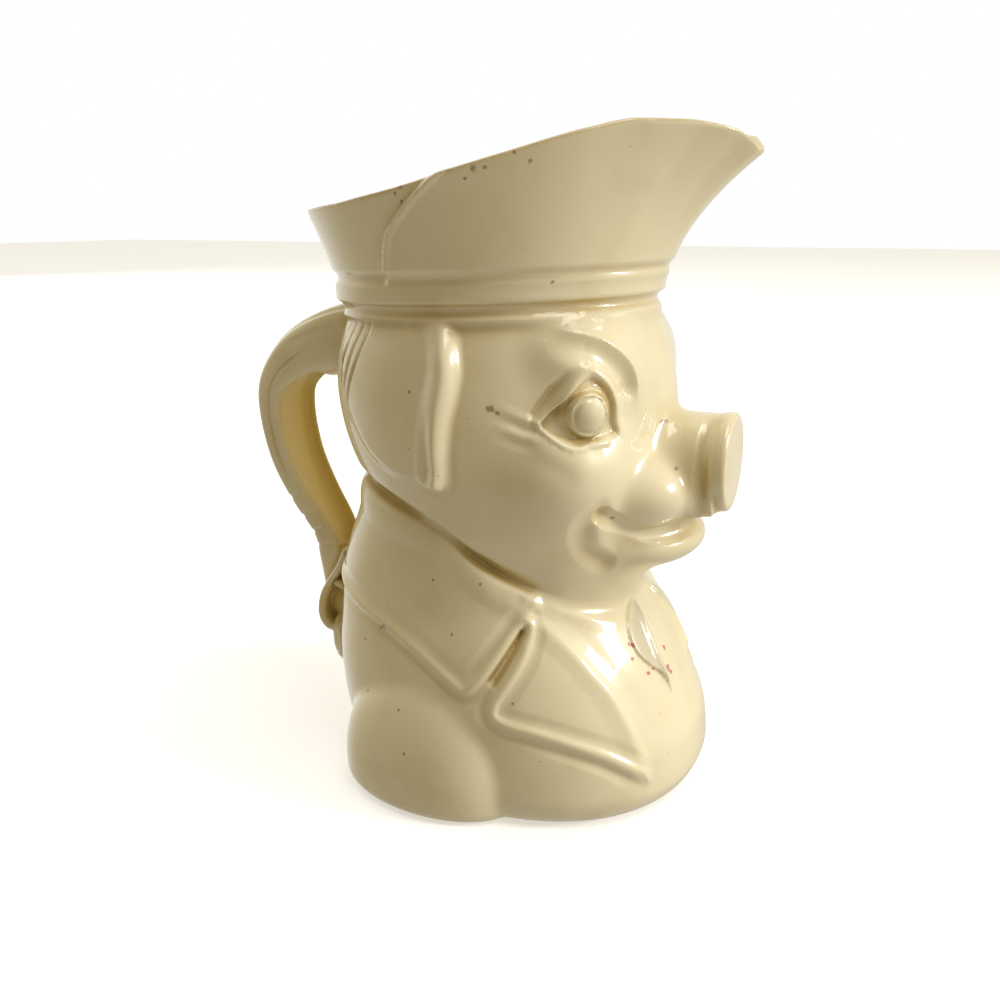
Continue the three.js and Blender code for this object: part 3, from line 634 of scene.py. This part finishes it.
def slope(field, v, e=0.06):
    """The field's gradient, from differences over e to each side."""
    x, y, z = v.T
    return np.stack([field(x + e, y, z) - field(x - e, y, z), field(x, y + e, z) - field(x, y - e, z),
                     field(x, y, z + e) - field(x, y, z - e)], -1) / (2 * e)


def settle(field, v, limit):
    """Moves each vertex onto the surface along the slope, at most limit."""
    f, g = field(*v.T), slope(field, v)
    move = -(f / ((g ** 2).sum(1) + 1e-9))[:, None] * g
    length = np.linalg.norm(move, axis=1)
    return v + move * np.minimum(1, limit / np.maximum(length, 1e-9))[:, None]


def new_object(name, mesh):
    piece = bpy.data.objects.new(name, mesh)
    bpy.context.scene.collection.objects.link(piece)
    return piece


def thinned(piece, triangles):
    """The piece's mesh collapsed to about this many triangles."""
    corners = sum(len(p.vertices) - 2 for p in piece.data.polygons)
    modifier = piece.modifiers.new("thin", "DECIMATE")
    modifier.ratio = min(1, triangles / corners)
    depsgraph = bpy.context.evaluated_depsgraph_get()
    mesh = bpy.data.meshes.new_from_object(piece.evaluated_get(depsgraph))
    piece.modifiers.clear()
    old = piece.data
    piece.data = mesh
    bpy.data.meshes.remove(old)


# hollowness at these reaches sets pooled glaze and painted shade in the glaze's colour
FINE_REACH = 1.2        # how far off hollowness is felt for: the fine grooves, and the wide ones
WIDE_REACH = 4.0


def hollowness(verts, normals, reach):
    """How far the surface is sunk in its surroundings, from -1 on a ridge to 1 in a groove; it sets where
    pooled glaze and painted shade darken the glaze.
    """
    return np.clip((reach - jug(*(verts + normals * reach).T)) / reach, -1, 1)


def golden_pool_and_bounce(verts):
    """Where the glaze pools deep and turns gold, lightened as painted bounce light: in the queue's channel
    and in the ribbon's loop.
    """
    x, y, z = np.abs(verts[:, 0]), verts[:, 1], verts[:, 2]
    share, wide, thick, off = queue_place(y, z)
    on_queue = (y > 40) & (z > 40) & (z < 150) & (x < wide + 1)
    deep = step(channel(x, wide, thick, share, off) - 1, 3) * np.clip((share - 0.15) / 0.25, 0, 1)
    loop = bead(np.hypot(y - 64.5, (z - 43.5) * 0.8), 9) * np.clip(x / 6, 0, 1)
    return np.where(on_queue, deep, 0) + 0.8 * loop * (y > 52)


def leaf_shade_mask(verts):
    """The face of the tie's leaf, where shade is painted darker and greyer."""
    x, y, z = verts.T
    leaf = outline(plan_angle(x, y) * ARC, z, LEAF)
    return step(leaf + 1, 1) * (plain_coat(np.abs(x), y, z) > -2)


def carve():
    """The jug's mesh, with its exact normals and the marks that the glaze reads."""
    verts, quads = surface(jug, *MESHED, CELL)
    mesh = bpy.data.meshes.new("pig_jug")
    mesh.from_pydata(verts, [], quads.tolist())
    piece = new_object("pig_jug", mesh)
    thinned(piece, TRIANGLES)
    mesh = piece.data
    v = np.zeros(len(mesh.vertices) * 3, np.float32)
    mesh.vertices.foreach_get("co", v)
    v = settle(jug, v.reshape(-1, 3).astype(float), 0.3 * CELL)
    g = slope(jug, v)
    normals = g / np.linalg.norm(g, axis=1)[:, None]
    # marks for the glaze: pooled glaze with painted shade in hollows and creases, pooled glaze with
    # painted bounce light in the channel and loop, painted shade on the tie's leaf
    marks = {
        "fine_pool_and_shade": hollowness(v, normals, FINE_REACH),
        "wide_pool_and_shade": hollowness(v, normals, WIDE_REACH),
        "golden_pool_and_bounce": golden_pool_and_bounce(v),
        "leaf": leaf_shade_mask(v)}
    for name, values in marks.items():
        mesh.attributes.new(name, "FLOAT", "POINT").data.foreach_set("value", values.astype(np.float32))
    mesh.vertices.foreach_set("co", np.clip(v * MM, *cad_box).astype(np.float32).ravel())
    mesh.shade_smooth()
    mesh.normals_split_custom_set_from_vertices(normals.tolist())
    return piece


# ---- glaze --------------------------------------------------------------------------------------
MIX_SHARE, MIX_A, MIX_B, MIX_RESULT = 0, 6, 7, 2        # a colour mix's sockets


class Nodes:
    """A short way to write a node material."""

    def __init__(self, name):
        self.material = bpy.data.materials.new(name)
        self.material.use_nodes = True
        self.tree = self.material.node_tree
        self.tree.nodes.clear()

    def add(self, kind, **settings):
        node = self.tree.nodes.new(kind)
        for key, value in settings.items():
            setattr(node, key, value)
        return node

    def link(self, out, into):
        self.tree.links.new(out, into)

    def put(self, socket, value):
        """Links a node's output into a socket, or sets a plain value there."""
        if isinstance(value, bpy.types.NodeSocket):
            self.link(value, socket)
        else:
            socket.default_value = value

    def maths(self, operation, *values):
        node = self.add("ShaderNodeMath", operation=operation)
        for socket, value in zip(node.inputs, values):
            self.put(socket, value)
        return node.outputs[0]

    def spread(self, value, low, high):
        """0 below low, 1 above high, smooth between."""
        node = self.add("ShaderNodeMapRange", interpolation_type="SMOOTHSTEP")
        for socket, v in zip(node.inputs, (value, low, high, 0.0, 1.0)):
            self.put(socket, v)
        return node.outputs[0]

    def blend(self, share, a, b):
        """Colour a turned into b by a share."""
        node = self.add("ShaderNodeMix", data_type="RGBA")
        self.put(node.inputs[MIX_SHARE], share)
        self.put(node.inputs[MIX_A], (*a, 1) if isinstance(a, tuple) else a)
        self.put(node.inputs[MIX_B], (*b, 1) if isinstance(b, tuple) else b)
        return node.outputs[MIX_RESULT]

    def noise(self, place, scale, detail=2.0, rough=0.5):
        node = self.add("ShaderNodeTexNoise")
        self.put(node.inputs["Vector"], place)
        self.put(node.inputs["Scale"], scale)
        self.put(node.inputs["Detail"], detail)
        self.put(node.inputs["Roughness"], rough)
        return node.outputs[0]

    def attribute(self, name):
        return self.add("ShaderNodeAttribute", attribute_name=name).outputs["Fac"]


# the glaze where it is thin, where it pools with painted shade in hollows, deepest with painted shade in
# creases, and gold with pooled glaze and painted bounce light; the tie's leaf in painted shade; specks,
# paint and bare clay
CREAM = (0.86, 0.79, 0.57)
YELLOW = (0.62, 0.47, 0.19)
OLIVE = (0.30, 0.22, 0.07)
GOLD = (0.68, 0.50, 0.10)
LEAF_SHADE = (0.55, 0.51, 0.38)
IRON = (0.20, 0.10, 0.04)
RED = (0.55, 0.05, 0.07)
BUFF = (0.80, 0.73, 0.60)

# iron specks under the glaze, seen from the pig's right, as Y, Z and radius in millimetres
IRON_SPECKS = (
    # collar
    (25, 55, 1.4), (27, 54, 0.9), (33.5, 48.5, 0.7), (1, 57.5, 0.7), (8.5, 72.5, 0.6), (-6.5, 73, 0.7),
    # sleeve and lapel
    (31, 32.5, 0.6), (16, 32.5, 0.6), (12, 21, 0.7), (-19.5, 40, 0.6),
    # snout and mouth, temple and ear
    (-50, 118.5, 1.0), (-56, 106.5, 0.9), (-41.5, 94, 0.8),
    (-11.5, 126, 1.3), (-13.5, 125, 0.9), (12, 129.5, 0.7),
    # hat
    (11.5, 184, 1.0), (11.5, 180, 0.8), (13, 182, 0.7), (-9, 187.5, 1.1), (-12, 188, 0.8),
    (-7, 185.5, 0.8), (-19, 191.5, 0.7), (-22.5, 189.5, 0.8), (-25, 159.5, 0.7), (39.5, 151, 0.8))
# stray red paint by the tie's leaf, seen from the front, as X, Z and radius
RED_SPECKS = (
    (-21, 51, 1.1), (-23, 47.5, 0.9), (-19.5, 42, 1.1), (-6, 45, 1.2), (-9, 39.5, 1.7), (-8, 38, 1.1),
    (-17, 42.5, 0.7))
SPECK_SIZE = 0.85       # a ragged spot looks larger than its radius


def specks(n, place, side, spots, ragged):
    """1 on the given spots, 0 off them, looking along one axis; noise makes their edges ragged."""
    seen = n.add("ShaderNodeVectorMath", operation="MULTIPLY")
    n.link(place, seen.inputs[0])
    seen.inputs[1].default_value = (0, 1, 1) if side == "X" else (1, 0, 1)
    nearest = None
    for across, z, r in spots:
        d = n.add("ShaderNodeVectorMath", operation="DISTANCE")
        n.link(seen.outputs[0], d.inputs[0])
        d.inputs[1].default_value = (0, across * MM, z * MM) if side == "X" else (across * MM, 0, z * MM)
        share = n.maths("DIVIDE", d.outputs["Value"], SPECK_SIZE * r * MM)
        nearest = share if nearest is None else n.maths("MINIMUM", nearest, share)
    edge = n.maths("ADD", nearest, n.maths("MULTIPLY", n.maths("SUBTRACT", ragged, 0.5), 2.0))
    depth = n.add("ShaderNodeSeparateXYZ")
    n.link(place, depth.inputs[0])
    facing = n.maths("LESS_THAN", depth.outputs[side], 0.0)
    return n.maths("MULTIPLY", facing, n.maths("SUBTRACT", 1.0, n.spread(edge, 0.55, 1.0)))


def glaze():
    """Cream glaze, yellow to olive where it pools and where shade is painted into hollows and creases,
    with specks, grit and a bare foot.
    """
    n = Nodes("cream_glaze")
    place = n.add("ShaderNodeTexCoord").outputs["Object"]
    shader = n.add("ShaderNodeBsdfPrincipled")
    out = n.add("ShaderNodeOutputMaterial")
    n.link(shader.outputs[0], out.inputs[0])
    cloud = n.noise(place, scale=60.0, detail=3.0)
    # painted shade with pooled glaze: wide hollows turn yellow, fine creases olive
    wide = n.spread(n.attribute("wide_pool_and_shade"), 0.03, 0.7)
    fine = n.maths("MULTIPLY", n.spread(n.attribute("fine_pool_and_shade"), 0.1, 0.8), 0.8)
    colour = n.blend(n.maths("MULTIPLY", n.spread(cloud, 0.45, 0.8), 0.25), CREAM, YELLOW)
    colour = n.blend(n.maths("MULTIPLY", wide, 0.9), colour, YELLOW)
    # painted bounce light with pooled glaze: the channel and the loop turn a lightened gold
    colour = n.blend(n.attribute("golden_pool_and_bounce"), colour, GOLD)
    # painted shade: the tie's leaf is made darker and greyer
    colour = n.blend(n.maths("MULTIPLY", n.attribute("leaf"), 0.7), colour, LEAF_SHADE)
    # painted shade: creases darkened to olive
    colour = n.blend(fine, colour, OLIVE)
    ragged = n.noise(place, scale=900.0)
    iron = specks(n, place, "X", IRON_SPECKS, ragged)
    paint = specks(n, place, "Y", RED_SPECKS, ragged)
    colour = n.blend(n.maths("MULTIPLY", iron, 0.65), colour, IRON)
    colour = n.blend(n.maths("MULTIPLY", paint, 0.85), colour, RED)
    grit = n.add("ShaderNodeTexVoronoi")
    n.put(grit.inputs["Vector"], place)
    n.put(grit.inputs["Scale"], 110.0)
    dots = n.maths("SUBTRACT", 1.0, n.spread(grit.outputs["Distance"], 0.02, 0.045))
    colour = n.blend(n.maths("MULTIPLY", dots, 0.5), colour, IRON)
    height = n.add("ShaderNodeSeparateXYZ")
    n.link(place, height.inputs[0])
    foot = n.maths("SUBTRACT", 1.0, n.spread(height.outputs["Z"], 0.4 * MM, 1.1 * MM))
    colour = n.blend(foot, colour, BUFF)
    n.link(colour, shader.inputs["Base Color"])
    shader.inputs["Roughness"].default_value = 0.35
    n.link(n.maths("SUBTRACT", 1.0, foot), shader.inputs["Coat Weight"])
    shader.inputs["Coat Roughness"].default_value = 0.04
    bump = n.add("ShaderNodeBump")
    n.put(bump.inputs["Height"], n.noise(place, scale=90.0, detail=1.0))
    bump.inputs["Strength"].default_value = 0.25
    bump.inputs["Distance"].default_value = 0.0006
    n.link(bump.outputs[0], shader.inputs["Normal"])
    return n.material


# ---- the stage ----------------------------------------------------------------------------------
# the room that lights the jug: away from the window, toward it, below, and behind the pig's left
ROOM_DIM = (0.17, 0.125, 0.05)
ROOM_BRIGHT = (0.78, 0.70, 0.54)
ROOM_BELOW = (0.62, 0.58, 0.50)
ROOM_LEFT = (0.95, 0.93, 0.86)


def pale(name, colour, roughness, glow):
    """A plain material that also glows a little, so that the floor comes out white."""
    n = Nodes(name)
    shader = n.add("ShaderNodeBsdfPrincipled")
    shader.inputs["Base Color"].default_value = (*colour, 1)
    shader.inputs["Roughness"].default_value = roughness
    shader.inputs["Emission Color"].default_value = (1, 1, 1, 1)
    shader.inputs["Emission Strength"].default_value = glow
    out = n.add("ShaderNodeOutputMaterial")
    n.link(shader.outputs[0], out.inputs[0])
    return n.material


def floor():
    mesh = bpy.data.meshes.new("floor")
    half = 6.0
    corners = [(-half, -half, 0), (half, -half, 0), (half, half, 0), (-half, half, 0)]
    mesh.from_pydata(corners, [], [(0, 1, 2, 3)])
    piece = new_object("floor", mesh)
    mesh.materials.append(pale("pale_floor", colour=(0.86, 0.88, 0.92), roughness=0.6, glow=0.38))
    piece.visible_diffuse = False      # the floor throws no light back on the jug
    piece.visible_glossy = False       # and the glaze mirrors the room's own glow from below


def softbox(name, azimuth, height, away, size, power, colour):
    """A rectangle of light aimed at the jug; azimuth 0 is ahead of the pig and 90 at its left."""
    data = bpy.data.lights.new(name, "AREA")
    data.shape = "RECTANGLE"
    data.size, data.size_y = size
    data.energy = power
    data.color = colour
    lamp = bpy.data.objects.new(name, data)
    bpy.context.scene.collection.objects.link(lamp)
    a, h = math.radians(azimuth), math.radians(height)
    toward = Vector((math.sin(a) * math.cos(h), -math.cos(a) * math.cos(h), math.sin(h)))
    lamp.location = Vector((0, 0, 0.11)) + toward * away
    lamp.rotation_euler = toward.to_track_quat("Z", "Y").to_euler()
    return lamp


def lights():
    """A window ahead of the pig, a top light and a glow from behind, in a dim warm room.

    The camera sees a white backdrop in place of the room."""
    scene = bpy.context.scene
    scene.world = bpy.data.worlds.new("studio")
    scene.world.use_nodes = True
    tree = scene.world.node_tree
    link = tree.links.new
    way = tree.nodes.new("ShaderNodeTexCoord").outputs["Generated"]

    def glow(toward, low, high, under, over):
        """The colours blended from under to over as the view turns toward a direction."""
        facing = tree.nodes.new("ShaderNodeVectorMath")
        facing.operation = "DOT_PRODUCT"
        facing.inputs[1].default_value = toward
        link(way, facing.inputs[0])
        share = tree.nodes.new("ShaderNodeMapRange")
        share.interpolation_type = "SMOOTHSTEP"
        share.inputs["From Min"].default_value = low
        share.inputs["From Max"].default_value = high
        link(facing.outputs["Value"], share.inputs["Value"])
        tint = tree.nodes.new("ShaderNodeMix")
        tint.data_type = "RGBA"
        for socket, colour in ((tint.inputs[MIX_A], under), (tint.inputs[MIX_B], over)):
            if isinstance(colour, tuple):
                socket.default_value = (*colour, 1)
            else:
                link(colour, socket)
        link(share.outputs["Result"], tint.inputs[MIX_SHARE])
        return tint.outputs[MIX_RESULT]

    room = glow((0.52, -0.74, 0.42), -0.7, 1.1, ROOM_DIM, ROOM_BRIGHT)
    room = glow((0.0, 0.0, -1.0), 0.0, 1.1, room, ROOM_BELOW)
    room = glow((0.80, 0.60, 0.0), 0.45, 1.05, room, ROOM_LEFT)
    link(room, tree.nodes["Background"].inputs[0])
    backdrop = tree.nodes.new("ShaderNodeBackground")
    seen = tree.nodes.new("ShaderNodeLightPath")
    mix = tree.nodes.new("ShaderNodeMixShader")
    backdrop.inputs[0].default_value = (1, 1, 1, 1)
    link(seen.outputs["Is Camera Ray"], mix.inputs[0])
    link(tree.nodes["Background"].outputs[0], mix.inputs[1])
    link(backdrop.outputs[0], mix.inputs[2])
    link(mix.outputs[0], tree.nodes["World Output"].inputs[0])
    softbox("window", azimuth=12, height=22, away=3, size=(0.8, 0.7), power=45,
            colour=(1.0, 0.98, 0.93))
    softbox("top_light", azimuth=-12, height=70, away=3, size=(1.4, 1.4), power=26,
            colour=(1.0, 0.97, 0.90))
    behind = softbox("back_glow", azimuth=168, height=14, away=2.8, size=(2.4, 1.6), power=50,
                     colour=(1.0, 0.98, 0.90))
    behind.visible_glossy = False
    scene.view_settings.view_transform = "Standard"


def camera():
    """The photograph's view: from the pig's right, a little ahead of it and above."""
    turn, tilt = math.radians(66), math.radians(16.4)
    away, aside, height = 0.306, 0.0065, 0.176
    data = bpy.data.cameras.new("camera")
    data.sensor_width = 36
    data.lens = 34.56
    eye = bpy.data.objects.new("camera", data)
    bpy.context.scene.collection.objects.link(eye)
    eye.location = (-away * math.sin(turn) - aside * math.cos(turn),
                    -away * math.cos(turn) + aside * math.sin(turn), height)
    eye.rotation_euler = (math.radians(90) - tilt, 0, -turn)
    bpy.context.scene.camera = eye


pig = carve()
pig.data.materials.append(glaze())
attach(pig, "root")
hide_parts("pig_toby_jug")
floor()
lights()
camera()
